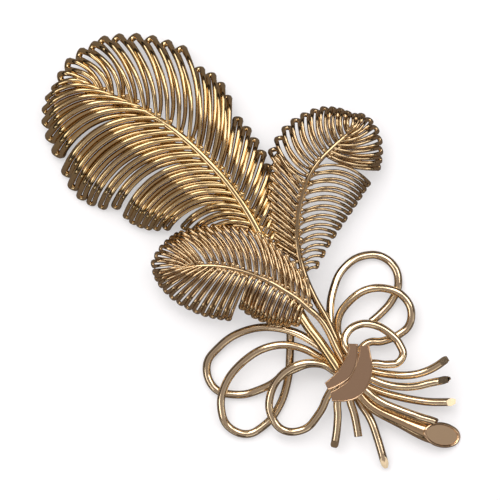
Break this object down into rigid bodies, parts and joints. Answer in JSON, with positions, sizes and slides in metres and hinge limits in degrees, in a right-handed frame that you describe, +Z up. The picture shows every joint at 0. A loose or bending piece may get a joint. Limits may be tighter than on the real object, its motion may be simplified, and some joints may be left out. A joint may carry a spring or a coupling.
{
  "type": "feather spray brooch",
  "caption": "Polished gold brooch of three wirework feathers gathered with wire loops and cut stems under a banded knot, with a pin behind.",
  "frame": {"origin": "middle of the resting brooch's outline on the surface that it lies on", "axes": "+Z up from the surface to the worked front, +Y along the spray towards the tip of the large feather"},
  "size_m": [0.0505, 0.0856, 0.0085],
  "materials": {
    "gold": "polished",
    "band_gold": "polished",
    "tube_gold": "polished",
    "pin_gold": "satin"
  },
  "bodies": {
    "root": {"large_feather": "gold", "right_feather": "gold", "left_feather": "gold", "loop_left_outer": "gold", "loop_left_middle": "gold", "loop_left_inner": "gold", "loop_right_upper": "gold", "loop_right_middle": "gold", "loop_right_lower": "gold", "cut_end_right_first": "gold", "cut_end_right_second": "gold", "cut_end_right_third": "gold", "cut_end_right_fourth": "gold", "cut_end_lower_first": "gold", "cut_end_lower_second": "gold", "cut_end_lower_third": "gold", "stem_tube": "tube_gold", "knot_core": "gold", "upper_band": "band_gold", "lower_band": "band_gold", "pin_finding": "pin_gold"}
  },
  "joints": []
}
